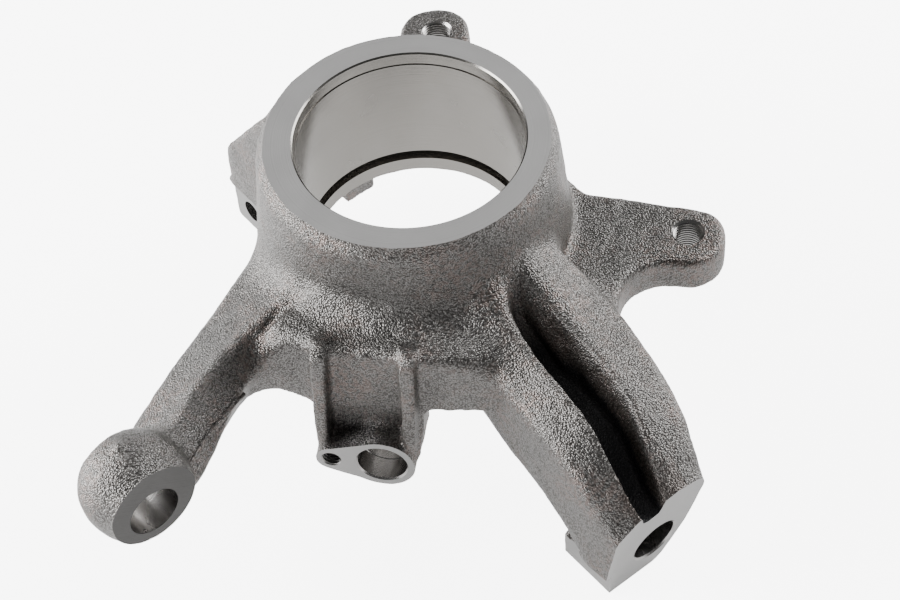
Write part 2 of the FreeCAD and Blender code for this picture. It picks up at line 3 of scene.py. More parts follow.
import bpy
from mathutils import Matrix, Vector
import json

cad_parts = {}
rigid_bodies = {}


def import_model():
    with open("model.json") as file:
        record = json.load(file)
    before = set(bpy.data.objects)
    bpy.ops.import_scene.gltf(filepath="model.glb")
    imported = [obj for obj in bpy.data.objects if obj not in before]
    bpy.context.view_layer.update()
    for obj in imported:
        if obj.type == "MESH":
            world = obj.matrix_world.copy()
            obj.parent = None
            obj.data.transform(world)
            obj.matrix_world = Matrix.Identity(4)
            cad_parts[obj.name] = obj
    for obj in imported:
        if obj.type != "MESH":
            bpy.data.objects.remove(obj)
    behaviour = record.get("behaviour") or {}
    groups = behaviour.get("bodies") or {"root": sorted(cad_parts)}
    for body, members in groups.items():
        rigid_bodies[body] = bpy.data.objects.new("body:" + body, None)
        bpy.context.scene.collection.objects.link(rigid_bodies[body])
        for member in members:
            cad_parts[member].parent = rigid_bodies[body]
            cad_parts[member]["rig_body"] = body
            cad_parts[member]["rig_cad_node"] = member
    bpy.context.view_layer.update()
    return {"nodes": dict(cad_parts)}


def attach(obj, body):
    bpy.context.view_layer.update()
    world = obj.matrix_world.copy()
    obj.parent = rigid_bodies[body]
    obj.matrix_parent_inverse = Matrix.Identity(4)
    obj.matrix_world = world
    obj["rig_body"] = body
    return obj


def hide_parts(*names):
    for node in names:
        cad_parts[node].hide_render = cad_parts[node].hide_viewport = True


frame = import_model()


# Camera
# A long lens looks down at the hub face from the front, turned a little about its own line of sight.
MM = 0.001
CAMERA_PLACE = (9.4, -639.9, 716.85)
CAMERA_TILT = 39.3
CAMERA_ROLL = -5.21
FILM_WIDTH = 36.0
LENS_LENGTH = 104.0
NEAR_LIMIT = 0.01
FAR_LIMIT = 20.0

bpy.ops.object.select_all(action="DESELECT")
bpy.ops.object.camera_add(location=[part * MM for part in CAMERA_PLACE])
camera = bpy.context.object
camera.name = "Camera"
camera.data.sensor_width = FILM_WIDTH
camera.data.lens = LENS_LENGTH
camera.data.clip_start = NEAR_LIMIT
camera.data.clip_end = FAR_LIMIT
look = Matrix.Rotation(radians(CAMERA_TILT), 3, "X") @ Matrix.Rotation(radians(CAMERA_ROLL), 3, "Z")
camera.rotation_euler = look.to_euler()
bpy.context.scene.camera = camera


# Raw casting
# The knuckle is one piece of spheroidal graphite iron, poured in sand and then shot blasted.
# It starts as the solid with extra stock on every machined place, and its corners are then rounded off.
KING_AZIMUTH = -55.0
CHANNEL_AZIMUTH = -58.7
SENSOR_AZIMUTH = -103.5
HUB_FACE = 29.25
SENSOR_FACE = 88.3
SENSOR_LEVEL = -50.45
SENSOR_SCREW_SPACING = 18.9
BALL_CENTRE = (-106.226, -108.251, -21.25)
BALL_FACE = 12.0
END_CENTRE = (74.552, -122.614, -60.75)
END_TILT = 8.0
END_FOOT = -77.95
END_PAD_LEFT = 29.0
LUG_BOLT = (-40.666, 58.078, -49.15)
LUG_LEFT = 29.7
LUG_RIGHT = 21.0
NEAR_EAR = (99.309, -18.406)
FAR_EAR = (13.921, 97.814)
EAR_TOP = -15.75
EAR_SPOT = -32.25
EAR_PLUG_DROP = 0.2
STOCK = 3.0
WELD = 0.01
FACE_FLATNESS = 0.05
FACE_SQUARENESS = 0.999
ROUND_SIDES = 96
BEAD_SIDES = 12
BEAD_TAPER = 0.9
VOXEL = 1.0
SMOOTHING = 0.5
CORNER_PASSES = 8
FLOW_PASSES = 60
FLOW_RISE = 2.0
SKIN_WAVE = 7.0
SKIN_OCTAVES = 3
SKIN_HEIGHT = 0.8
KEPT_TRIANGLES = 0.6
FLASH_RADIUS = 0.9


def flat_direction(azimuth, fall=0.0):
    """Return the unit vector of a direction round the wheel axis, falling by an angle below the level."""
    azimuth, fall = radians(azimuth), radians(fall)
    return Vector((cos(azimuth) * cos(fall), sin(azimuth) * cos(fall), -sin(fall)))


def beside(along, across, height, azimuth):
    """Return the point at a distance along a direction, a distance to its left and a height."""
    a = radians(azimuth)
    return Vector((along * cos(a) - across * sin(a), along * sin(a) + across * cos(a), height))


def pick(body):
    """Select one body alone and make it the active one."""
    bpy.ops.object.select_all(action="DESELECT")
    body.select_set(True)
    bpy.context.view_layer.objects.active = body


def stand(body, centre, axis):
    """Turn a body's Z to an axis, move it to a centre in millimetres and apply both."""
    pick(body)
    body.rotation_mode = "QUATERNION"
    body.rotation_quaternion = Vector(axis).to_track_quat("Z", "Y")
    body.location = Vector(centre) * MM
    bpy.ops.object.transform_apply(location=True, rotation=True, scale=True)


def lathe(name, rings, centre=(0, 0, 0), axis=(0, 0, 1), sides=ROUND_SIDES):
    """Make a closed turned body from (radius, distance along the axis) rings, in millimetres."""
    bpy.ops.object.select_all(action="DESELECT")
    bpy.ops.mesh.primitive_circle_add(
        vertices=sides, radius=rings[0][0] * MM, fill_type="NGON", location=(0, 0, rings[0][1] * MM))
    body = bpy.context.object
    body.name = name
    bpy.ops.object.transform_apply(location=True, rotation=False, scale=False)
    bpy.ops.object.mode_set(mode="EDIT")
    bpy.ops.mesh.select_all(action="SELECT")
    for before, ring in zip(rings, rings[1:]):
        bpy.ops.mesh.extrude_region_move(
            TRANSFORM_OT_translate={"value": (0, 0, (ring[1] - before[1]) * MM)})
        share = ring[0] / before[0]
        bpy.ops.transform.resize(
            value=(share, share, 1), center_override=(0, 0, ring[1] * MM))
    bpy.ops.mesh.select_all(action="SELECT")
    bpy.ops.mesh.normals_make_consistent(inside=False)
    bpy.ops.object.mode_set(mode="OBJECT")
    stand(body, centre, axis)
    return body


def bar(name, radius, start, end, centre=(0, 0, 0), axis=(0, 0, 1)):
    """Make a straight round bar between two distances along an axis, in millimetres."""
    return lathe(name, [(radius, start), (radius, end)], centre, axis)


def bead(name, start, end, start_radius, end_radius):
    """Make a slim round bar between two points, as the small burr of a mould joint."""
    start, end = Vector(start), Vector(end)
    length = (end - start).length
    return lathe(name, [(start_radius, 0.0), (end_radius, length)], start, end - start, BEAD_SIDES)


def block(name, low, high, azimuth):
    """Make a box between two corners given along and across a direction, in millimetres."""
    bpy.ops.object.select_all(action="DESELECT")
    bpy.ops.mesh.primitive_cube_add(size=1.0)
    body = bpy.context.object
    body.name = name
    low, high = Vector(low) * MM, Vector(high) * MM
    body.scale = high - low
    body.location = (low + high) / 2
    bpy.ops.object.transform_apply(location=True, rotation=False, scale=True)
    body.rotation_euler = (0, 0, radians(azimuth))
    bpy.ops.object.transform_apply(location=False, rotation=True, scale=False)
    return body


def apply_modifier(body, kind, **settings):
    """Add a modifier to a body, set it and apply it."""
    pick(body)
    modifier = body.modifiers.new(kind.title(), kind)
    for key, value in settings.items():
        setattr(modifier, key, value)
    bpy.ops.object.modifier_apply(modifier=modifier.name)


KING = flat_direction(KING_AZIMUTH)
END_AXIS = flat_direction(KING_AZIMUTH, END_TILT)
LUG_ACROSS = flat_direction(KING_AZIMUTH + 90)
SENSOR_OUT = flat_direction(SENSOR_AZIMUTH)
SENSOR_CENTRE = beside(SENSOR_FACE, 0.0, SENSOR_LEVEL, SENSOR_AZIMUTH)
SCREW_CENTRE = beside(SENSOR_FACE, -SENSOR_SCREW_SPACING, SENSOR_LEVEL, SENSOR_AZIMUTH)

casting = frame["nodes"]["knuckle"].copy()
casting.data = casting.data.copy()
casting.name = "casting"
casting.parent = None
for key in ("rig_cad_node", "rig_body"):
    if key in casting:
        del casting[key]
bpy.context.scene.collection.objects.link(casting)
pick(casting)
bpy.ops.object.mode_set(mode="EDIT")
bpy.ops.mesh.select_all(action="SELECT")
bpy.ops.mesh.remove_doubles(threshold=WELD * MM)
bpy.ops.mesh.select_all(action="DESELECT")
bpy.ops.object.mode_set(mode="OBJECT")

# Each flat machined face gets its stock, as the foundry leaves it for the mill. A row is a point on the
# face, the way it looks and how far from the point it reaches.
MILLED = [
    (Vector((0, 0, HUB_FACE)), Vector((0, 0, 1)), 60.0),
    (Vector(BALL_CENTRE) + KING * BALL_FACE, KING, 25.0),
    (Vector(END_CENTRE), END_AXIS, 60.0),
    (Vector((75, -110, END_FOOT)), Vector((0, 0, -1)), 90.0),
    (beside(130.0, -END_PAD_LEFT, -71.0, KING_AZIMUTH), -LUG_ACROSS, 40.0),
    (SENSOR_CENTRE, SENSOR_OUT, 40.0),
    (Vector(LUG_BOLT) - LUG_ACROSS * LUG_LEFT, -LUG_ACROSS, 50.0),
    (Vector(LUG_BOLT) + LUG_ACROSS * LUG_RIGHT, LUG_ACROSS, 50.0),
]
for place, normal, reach in MILLED:
    for polygon in casting.data.polygons:
        offset = polygon.center / MM - place
        on_plane = abs(offset.dot(normal)) < FACE_FLATNESS
        square = polygon.normal.dot(normal) > FACE_SQUARENESS
        polygon.select = on_plane and square and offset.length < reach
    bpy.ops.object.mode_set(mode="EDIT")
    bpy.ops.mesh.extrude_region_move(TRANSFORM_OT_translate={"value": normal * STOCK * MM})
    bpy.ops.mesh.select_all(action="DESELECT")
    bpy.ops.object.mode_set(mode="OBJECT")

# Every hole is full of raw metal until it is drilled, and the lug has a small heel under the ring. A bar
# is a radius and two distances along its axis, from a middle.
ear_plug_top = EAR_TOP - EAR_PLUG_DROP
plugs = [
    bar("bore_plug", 45.0, -33.0, 32.0),
    bar("near_ear_plug", 7.0, EAR_SPOT, ear_plug_top, (*NEAR_EAR, 0)),
    bar("far_ear_plug", 7.0, EAR_SPOT, ear_plug_top, (*FAR_EAR, 0)),
    bar("sensor_plug", 10.6, -25.0, STOCK, SENSOR_CENTRE, SENSOR_OUT),
    bar("screw_plug", 4.6, -17.5, STOCK, SCREW_CENTRE, SENSOR_OUT),
    bar("ball_plug", 11.5, -BALL_FACE, BALL_FACE + STOCK, BALL_CENTRE, KING),
    bar("end_plug", 10.5, -28.5, STOCK, END_CENTRE, END_AXIS),
    block("lug_heel", (49.5, -15.5, -50.5), (66.0, -1.5, -28.0), KING_AZIMUTH + 180),
    bar("lug_plug", 6.5, -LUG_LEFT - STOCK, LUG_RIGHT + STOCK, LUG_BOLT, LUG_ACROSS),
]

# The mould leaves a burr beside the sensor boss, a bank in the slot's upper end and a lump at the ball's
# neck. A row is a name, two ends and a radius.
boss_burr_top = beside(76.0, 14.3, -31.0, SENSOR_AZIMUTH)
boss_burr_bend = beside(79.0, 14.0, -40.0, SENSOR_AZIMUTH)
boss_burr_foot = beside(84.0, 13.2, -49.0, SENSOR_AZIMUTH)
slot_bank_top = beside(60.0, 4.5, -2.0, CHANNEL_AZIMUTH)
slot_bank_foot = beside(96.0, 7.5, -27.5, CHANNEL_AZIMUTH)
BURRS = [
    ("boss_burr_a", boss_burr_top, boss_burr_bend, 1.1),
    ("boss_burr_b", boss_burr_bend, boss_burr_foot, 0.9),
    ("slot_bank", slot_bank_top, slot_bank_foot, 4.5),
    ("neck_lump", (-109.6, -105.8, 0.2), (-106.4, -106.4, 0.6), 2.9),
]
for name, start, end, radius in BURRS:
    plugs.append(bead(name, start, end, radius, radius * BEAD_TAPER))
pick(casting)
for plug in plugs:
    plug.select_set(True)
bpy.ops.object.join()
apply_modifier(casting, "REMESH", mode="VOXEL", voxel_size=VOXEL * MM)
apply_modifier(casting, "SMOOTH", factor=SMOOTHING, iterations=CORNER_PASSES)

# The pattern's wide rounds, where the arms, the ears and the web run into the ring, are evened out
# further. A row is the middle of a round and its reach, whose inner half is evened out in full.
FLOWS = [
    ((15.0, -60.0, 2.0), 24.0),
    ((-43.0, -50.0, -4.0), 15.0),
    ((-58.0, -60.0, -15.0), 12.0),
    ((62.0, -44.0, -10.0), 17.0),
    ((33.0, -54.0, 3.0), 15.0),
    ((-59.0, -14.0, -6.0), 18.0),
    ((-98.0, -96.0, -14.0), 15.0),
    ((24.0, -80.0, -14.0), 16.0),
    ((-30.0, -72.0, -6.0), 7.0),
    ((8.0, -77.0, -6.0), 7.0),
    ((-70.5, 48.3, -22.0), 13.0),
    ((-22.0, -71.5, -6.0), 9.0),
    ((-24.0, -75.0, -38.0), 6.0),
]
flow = casting.vertex_groups.new(name="flow")
for vertex in casting.data.vertices:
    weight = 0.0
    for centre, radius in FLOWS:
        share = 1.0 - (vertex.co / MM - Vector(centre)).length / radius
        weight = max(weight, share)
    if weight > 0.0:
        flow.add([vertex.index], min(1.0, FLOW_RISE * weight), "REPLACE")
apply_modifier(casting, "SMOOTH", factor=SMOOTHING, iterations=FLOW_PASSES, vertex_group="flow")

# The sand leaves the whole skin slightly uneven.
uneven = bpy.data.textures.new("uneven_skin", "CLOUDS")
uneven.noise_scale = SKIN_WAVE * MM
uneven.noise_depth = SKIN_OCTAVES
apply_modifier(casting, "DISPLACE", texture=uneven, texture_coords="LOCAL", strength=SKIN_HEIGHT * MM,
               mid_level=0.5)
apply_modifier(casting, "DECIMATE", ratio=KEPT_TRIANGLES)

# The mould joint leaves a thin flash down the side of the steering arm.
FLASH = [
    (-89.0, -107.0, -18.1), (-86.3, -102.1, -17.6), (-80.9, -92.2, -17.1), (-74.8, -83.7, -17.7),
    (-70.0, -76.8, -17.5), (-67.2, -71.0, -20.8),
]
for start, end in zip(FLASH, FLASH[1:]):
    flash = bead("flash", start, end, FLASH_RADIUS, FLASH_RADIUS)
    apply_modifier(casting, "BOOLEAN", operation="UNION", object=flash, solver="MANIFOLD")
    bpy.data.objects.remove(flash)


# Machining
# The hub face, the bearing seat, the joint and sensor faces, the lug's cheeks and all holes are cut from
# the raw casting with the sizes of the solid, so their edges stay crisp against the rounded cast skin.
END_PAD_TOP = -65.25
LUG_MILL_TOP = -35.25
LUG_FOOT = -58.75
CUTTER_DEPTH = 20
CUTTER_OVERLAP = 5
BORE_SIDES = 256
THREAD_SIDES = 40
THREAD_PITCH = 1.25
THREAD_DEPTH = 0.52
EAR_THREAD_RADIUS = 6.0
EAR_THREAD_TURNS = 17
SCREW_THREAD_RADIUS = 3.75
SCREW_THREAD_TURNS = 13
SCREW_THREAD_FOOT = 15.0
SHARP_ANGLE = 32


def plain_finish(name):
    """Make a material whose nodes are set further down."""
    finish = bpy.data.materials.new(name)
    finish.use_nodes = True
    return finish


def cut(body, tool, finish):
    """Take a tool's shape out of a body, leave a finish there and remove the tool."""
    tool.data.materials.append(finish)
    apply_modifier(body, "BOOLEAN", operation="DIFFERENCE", object=tool, solver="MANIFOLD",
                   material_mode="TRANSFER")
    bpy.data.objects.remove(tool)


def thread_tool(name, radius, pitch, turns, centre, axis):
    """Make a closed three-sided coil that cuts a 60 degree thread, with its foot at the centre."""
    size = pitch * THREAD_DEPTH
    bpy.ops.object.select_all(action="DESELECT")
    bpy.ops.mesh.primitive_circle_add(
        vertices=3, radius=size * MM, fill_type="NOTHING", location=((radius - size) * MM, 0, 0),
        rotation=(radians(90), radians(90), 0))
    coil = bpy.context.object
    coil.name = name
    bpy.ops.object.transform_apply(location=True, rotation=True, scale=True)
    apply_modifier(coil, "SCREW", axis="Z", angle=2 * pi, screw_offset=pitch * MM, iterations=turns,
                   steps=THREAD_SIDES, render_steps=THREAD_SIDES, use_merge_vertices=False)
    bpy.ops.object.mode_set(mode="EDIT")
    bpy.ops.mesh.select_all(action="SELECT")
    bpy.ops.mesh.fill_holes(sides=3)
    bpy.ops.mesh.select_all(action="SELECT")
    bpy.ops.mesh.normals_make_consistent(inside=False)
    bpy.ops.object.mode_set(mode="OBJECT")
    stand(coil, centre, axis)
    return coil


cast_skin = plain_finish("shot_blasted_iron")
turned_face = plain_finish("turned_hub_face")
milled_face = plain_finish("milled_face")
eye_face = plain_finish("turned_eye_face")
bored_wall = plain_finish("bored_bearing_seat")
reamed_wall = plain_finish("reamed_hole")
cut_thread = plain_finish("cut_thread")
casting.data.materials.clear()
casting.data.materials.append(cast_skin)

FACE_TOOLS = [
    (turned_face, bar("face_tool", 80.0, HUB_FACE, HUB_FACE + CUTTER_DEPTH)),
    (eye_face, bar("ball_face_tool", 26.0, BALL_FACE, BALL_FACE + 10, BALL_CENTRE, KING)),
    (milled_face, bar("end_face_tool", 90.0, 0.0, 40.0, END_CENTRE, END_AXIS)),
    (milled_face, block("end_foot_tool", (80, -60, END_FOOT - CUTTER_DEPTH), (170, 60, END_FOOT),
                        KING_AZIMUTH)),
    (milled_face, block("end_flank_tool", (110, -END_PAD_LEFT - CUTTER_DEPTH, END_FOOT - CUTTER_OVERLAP),
                        (160, -END_PAD_LEFT, END_PAD_TOP), KING_AZIMUTH)),
    (milled_face, bar("sensor_face_tool", 40.0, 0.0, 12.0, SENSOR_CENTRE, SENSOR_OUT)),
    (milled_face, block("left_cheek_tool", (50, LUG_LEFT, LUG_FOOT - CUTTER_OVERLAP),
                        (120, LUG_LEFT + CUTTER_DEPTH, LUG_MILL_TOP), KING_AZIMUTH + 180)),
    (milled_face, block("right_cheek_tool", (50, -LUG_RIGHT - CUTTER_DEPTH, LUG_FOOT - CUTTER_OVERLAP),
                        (120, -LUG_RIGHT, LUG_MILL_TOP), KING_AZIMUTH + 180)),
]
for finish, tool in FACE_TOOLS:
    cut(casting, tool, finish)

# The drills and reamers, as rings of a radius and a distance along the axis. Their upper rings cut the
# chamfers, and the bore's rings the snap ring groove and the lip too.
BORE_CUT = [
    (41.2, -40.0), (41.2, -27.05), (43.8, -27.05), (43.8, -23.55), (42.0, -23.55), (42.0, 23.55),
    (42.4, 23.55), (42.4, 28.65), (44.0, 30.25),
]
EAR_CUT = [(5.3, EAR_SPOT - 3), (5.3, EAR_TOP - 0.9), (6.2, EAR_TOP), (7.2, EAR_TOP + 1)]
SENSOR_CUT = [(9.1, -50.0), (9.1, -9.4), (9.4, -9.1), (9.4, -7.9), (9.1, -7.6), (9.1, -0.6), (10.3, 0.6)]
SCREW_CUT = [(3.35, -16.0), (3.35, -0.45), (4.6, 0.8)]
BALL_CUT = [(8.6, -BALL_FACE - 1), (10.0, BALL_FACE + 1)]
END_CUT = [(9.3, -27.0), (9.3, -0.7), (10.7, 0.7)]
LUG_CUT = [(4.6, -60.0), (4.6, 60.0)]
HOLE_TOOLS = [
    (bored_wall, lathe("bore_tool", BORE_CUT, sides=BORE_SIDES)),
    (reamed_wall, lathe("near_ear_tool", EAR_CUT, (*NEAR_EAR, 0))),
    (reamed_wall, lathe("far_ear_tool", EAR_CUT, (*FAR_EAR, 0))),
    (reamed_wall, lathe("sensor_tool", SENSOR_CUT, SENSOR_CENTRE, SENSOR_OUT)),
    (reamed_wall, lathe("screw_tool", SCREW_CUT, SCREW_CENTRE, SENSOR_OUT)),
    (reamed_wall, lathe("ball_tool", BALL_CUT, BALL_CENTRE, KING)),
    (reamed_wall, lathe("end_tool", END_CUT, END_CENTRE, END_AXIS)),
    (reamed_wall, lathe("lug_tool", LUG_CUT, LUG_BOLT, LUG_ACROSS)),
    (cut_thread, thread_tool("near_ear_thread", EAR_THREAD_RADIUS, THREAD_PITCH, EAR_THREAD_TURNS,
                             (*NEAR_EAR, EAR_SPOT - 2), (0, 0, 1))),
    (cut_thread, thread_tool("far_ear_thread", EAR_THREAD_RADIUS, THREAD_PITCH, EAR_THREAD_TURNS,
                             (*FAR_EAR, EAR_SPOT - 2), (0, 0, 1))),
    (cut_thread, thread_tool("screw_thread", SCREW_THREAD_RADIUS, THREAD_PITCH, SCREW_THREAD_TURNS,
                             SCREW_CENTRE - SENSOR_OUT * SCREW_THREAD_FOOT, SENSOR_OUT)),
]
for finish, tool in HOLE_TOOLS:
    cut(casting, tool, finish)
pick(casting)
bpy.ops.object.shade_smooth_by_angle(angle=radians(SHARP_ANGLE))
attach(casting, "root")
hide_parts("knuckle")


# Cast skin
# The blasted iron is rough at half a millimetre, glints where its grains face the light, and varies from
# grey to a slight brown. The deep channel's floor is painted near black and its lower walls dark brown,
# as painted shade.
PEBBLE_SCALE = 1500.0
PEBBLE_SHARE = 0.65
GRIT_SCALE = 2000.0
GRIT_SHARE = 0.35
PIT_RANGE = (0.38, 0.62)
PATCH_SCALE = 45.0
PATCH_RANGE = (0.42, 0.68)
SPECK_SCALE = 500.0
SPECK_RANGE = (0.40, 0.60)
PIT_GREY = (0.10, 0.095, 0.09, 1)
PEAK_GREY = (0.24, 0.232, 0.225, 1)
PATCH_BROWN = (0.24, 0.185, 0.165, 1)
PATCH_SHARE = 0.55
# Painted shade: the slot's lower walls turn dark brown.
WALL_SHADE_BROWN = (0.10, 0.072, 0.060, 1)
WALL_SHADE_SHARE = 0.4
# Painted shade: the slot's floor turns near black and loses its metal.
FLOOR_SHADE_BLACK = (0.012, 0.012, 0.014, 1)
IRON_METALLIC = 0.85
IRON_ROUGHNESS = 0.36
GRAIN_STRENGTH = 0.9
GRAIN_HEIGHT = 0.0005


def value_node(tree, kind, **inputs):
    """Add a node and set its named inputs."""
    node = tree.nodes.new(kind)
    for key, value in inputs.items():
        node.inputs[key].default_value = value
    return node


def math_node(tree, operation, first, second=None):
    """Add a math node whose sides are sockets or plain numbers, and return its result."""
    node = tree.nodes.new("ShaderNodeMath")
    node.operation = operation
    for socket, side in zip(node.inputs, (first, second)):
        if side is None:
            continue
        if isinstance(side, (int, float)):
            socket.default_value = side
        else:
            tree.links.new(side, socket)
    return node.outputs[0]


def noise(tree, place, scale, detail, roughness=0.5):
    """Add a noise on the object's own coordinates and return its value, about 0.5 in the middle."""
    node = value_node(tree, "ShaderNodeTexNoise", Scale=scale, Detail=detail, Roughness=roughness)
    tree.links.new(place, node.inputs["Vector"])
    return node.outputs["Fac"]


def mix_colour(tree, share, first, second):
    """Mix two colours, each a socket or four numbers, by a share."""
    node = tree.nodes.new("ShaderNodeMix")
    node.data_type = "RGBA"
    tree.links.new(share, node.inputs["Factor"])
    for socket, colour in ((node.inputs[6], first), (node.inputs[7], second)):
        if isinstance(colour, tuple):
            socket.default_value = colour
        else:
            tree.links.new(colour, socket)
    return node.outputs[2]


def ramp(tree, value, low, high):
    """Return 0 below low, 1 above high and a smooth rise between."""
    node = tree.nodes.new("ShaderNodeMapRange")
    node.interpolation_type = "SMOOTHSTEP"
    tree.links.new(value, node.inputs["Value"])
    node.inputs["From Min"].default_value = low
    node.inputs["From Max"].default_value = high
    return node.outputs["Result"]


def fade(tree, value, low, high):
    """Return 1 below low, 0 above high and a smooth fall between."""
    return math_node(tree, "SUBTRACT", 1.0, ramp(tree, value, low, high))


def along(tree, place, direction):
    """Return how far a place lies along a direction, in metres."""
    node = tree.nodes.new("ShaderNodeVectorMath")
    node.operation = "DOT_PRODUCT"
    tree.links.new(place, node.inputs[0])
    node.inputs[1].default_value = direction
    return node.outputs["Value"]


def new_group(name, outputs):
    """Start a node group that takes object coordinates and gives the named values."""
    group = bpy.data.node_groups.new(name, "ShaderNodeTree")
    group.interface.new_socket("Place", in_out="INPUT", socket_type="NodeSocketVector")
    for output in outputs:
        group.interface.new_socket(output, in_out="OUTPUT", socket_type="NodeSocketFloat")
    source = group.nodes.new("NodeGroupInput").outputs["Place"]
    return group, source, group.nodes.new("NodeGroupOutput")


def use_group(tree, group):
    """Put a group into a material's nodes, fed with object coordinates, and return it."""
    node = tree.nodes.new("ShaderNodeGroup")
    node.node_tree = group
    place = tree.nodes.new("ShaderNodeTexCoord").outputs["Object"]
    tree.links.new(place, node.inputs["Place"])
    return node


def roughen(tree, shader, height, strength, distance):
    """Bend a shader's normal by a height, with a bump node."""
    bump = value_node(tree, "ShaderNodeBump", Strength=strength, Distance=distance)
    tree.links.new(height, bump.inputs["Height"])
    tree.links.new(bump.outputs["Normal"], shader.inputs["Normal"])


grain, place, out = new_group("blasted_grain", ("Height", "Pits", "Tint"))
pebbles = value_node(grain, "ShaderNodeTexVoronoi", Scale=PEBBLE_SCALE)
grain.links.new(place, pebbles.inputs["Vector"])
coarse = math_node(grain, "SUBTRACT", 1.0, pebbles.outputs["Distance"])
coarse = math_node(grain, "MULTIPLY", coarse, PEBBLE_SHARE)
fine = math_node(grain, "MULTIPLY", noise(grain, place, GRIT_SCALE, 1.0), GRIT_SHARE)
height = math_node(grain, "ADD", coarse, fine)
patches = ramp(grain, noise(grain, place, PATCH_SCALE, 3.0, 0.6), *PATCH_RANGE)
specks = ramp(grain, noise(grain, place, SPECK_SCALE, 2.0), *SPECK_RANGE)
grain.links.new(height, out.inputs["Height"])
grain.links.new(ramp(grain, height, *PIT_RANGE), out.inputs["Pits"])
grain.links.new(math_node(grain, "MULTIPLY", patches, specks), out.inputs["Tint"])

# Painted shade darkens the slot under a line that falls with the arm: near black on the floor and dark
# brown up the lower walls. The line's points are a distance from the wheel axis and the height of the
# slot's floor, in millimetres. Its curve takes them as shares of LINE_REACH and of LINE_RISE above
# LINE_FOOT. The ranges of the masks are in metres.
FLOOR_LINE = [
    (59, 5), (64, -4), (70, -12.5), (88, -22), (104, -24.5), (119, -28.5), (133, -36.5), (142, -40),
    (155, -44),
]
LINE_REACH = 200
LINE_RISE = 100
LINE_FOOT = -60
RAGGED_SCALE = 300.0
RAGGED_HEIGHT = 0.006
SLOT_HALF_WIDTH = (0.011, 0.013)
SLOT_START = (0.066, 0.078)
FLOOR_SHADE_TOP = (0.003, 0.0065)
WALL_SHADE_TOP = (0.009, 0.0145)

# The masks of the painted shade in the slot, one for its floor and one for its lower walls.
slot_shade, place, out = new_group("channel_painted_shade", ("Mask", "WallShade"))
reach = along(slot_shade, place, flat_direction(CHANNEL_AZIMUTH))
across = along(slot_shade, place, flat_direction(CHANNEL_AZIMUTH + 90))
level = along(slot_shade, place, (0, 0, 1))
line = slot_shade.nodes.new("ShaderNodeFloatCurve")
curve = line.mapping.curves[0]
stops = [(reach_mm / LINE_REACH, (floor_mm - LINE_FOOT) / LINE_RISE) for reach_mm, floor_mm in FLOOR_LINE]
curve.points[0].location = stops[0]
curve.points[1].location = stops[-1]
for stop in stops[1:-1]:
    curve.points.new(*stop)
line.mapping.update()
reach_share = math_node(slot_shade, "MULTIPLY", reach, 1 / (LINE_REACH * MM))
slot_shade.links.new(reach_share, line.inputs["Value"])
floor_level = math_node(slot_shade, "SUBTRACT", line.outputs["Value"], -LINE_FOOT / LINE_RISE)
floor_level = math_node(slot_shade, "MULTIPLY", floor_level, LINE_RISE * MM)
ragged = math_node(slot_shade, "SUBTRACT", noise(slot_shade, place, RAGGED_SCALE, 3.0), 0.5)
ragged = math_node(slot_shade, "MULTIPLY", ragged, RAGGED_HEIGHT)
above = math_node(slot_shade, "SUBTRACT", level, floor_level)
above = math_node(slot_shade, "ADD", above, ragged)
inside = math_node(slot_shade, "MULTIPLY",
                   fade(slot_shade, math_node(slot_shade, "ABSOLUTE", across), *SLOT_HALF_WIDTH),
                   ramp(slot_shade, reach, *SLOT_START))
for output, top in (("Mask", FLOOR_SHADE_TOP), ("WallShade", WALL_SHADE_TOP)):
    shaded = math_node(slot_shade, "MULTIPLY", fade(slot_shade, above, *top), inside)
    slot_shade.links.new(shaded, out.inputs[output])

tree = cast_skin.node_tree
shader = tree.nodes["Principled BSDF"]
grain_node = use_group(tree, grain)
slot_shade_node = use_group(tree, slot_shade)
brown = math_node(tree, "MULTIPLY", grain_node.outputs["Tint"], PATCH_SHARE)
# Painted shade: the slot's lower walls are mixed towards dark brown.
wall_shade = math_node(tree, "MULTIPLY", slot_shade_node.outputs["WallShade"], WALL_SHADE_SHARE)
# Painted shade: the slot's floor is mixed towards near black, and the metal is taken away there.
unshaded = math_node(tree, "SUBTRACT", 1.0, slot_shade_node.outputs["Mask"])
colour = mix_colour(tree, grain_node.outputs["Pits"], PIT_GREY, PEAK_GREY)
colour = mix_colour(tree, brown, colour, PATCH_BROWN)
colour = mix_colour(tree, wall_shade, colour, WALL_SHADE_BROWN)
colour = mix_colour(tree, slot_shade_node.outputs["Mask"], colour, FLOOR_SHADE_BLACK)
tree.links.new(colour, shader.inputs["Base Color"])
tree.links.new(math_node(tree, "MULTIPLY", unshaded, IRON_METALLIC), shader.inputs["Metallic"])
shader.inputs["Roughness"].default_value = IRON_ROUGHNESS
roughen(tree, shader, grain_node.outputs["Height"], GRAIN_STRENGTH, GRAIN_HEIGHT)


# Machined finishes
# The hub face shows fine rings from the lathe, the milled faces and the dark face of the eye faint cutter
# marks, and the bored, reamed and threaded walls fine lines round their axes.
MARK_SCALE = 1800.0
MARK_SHADE = 0.86
MARK_HEIGHT = 0.0001
CLOUD_SCALE = 60.0
CLOUD_SWING = 0.25
MILL_FEED = (0.45, 0.35, 0.82)


def marks_group(name, lines):
    """Make a group whose marks follow the value that lines() gives, with a cloud for the sheen."""
    group, place, out = new_group(name, ("Marks", "Cloud"))
    marks = value_node(group, "ShaderNodeTexNoise", Scale=MARK_SCALE, Detail=3.0)
    marks.noise_dimensions = "1D"
    group.links.new(lines(group, place), marks.inputs["W"])
    group.links.new(marks.outputs["Fac"], out.inputs["Marks"])
    group.links.new(noise(group, place, CLOUD_SCALE, 3.0), out.inputs["Cloud"])
    return group


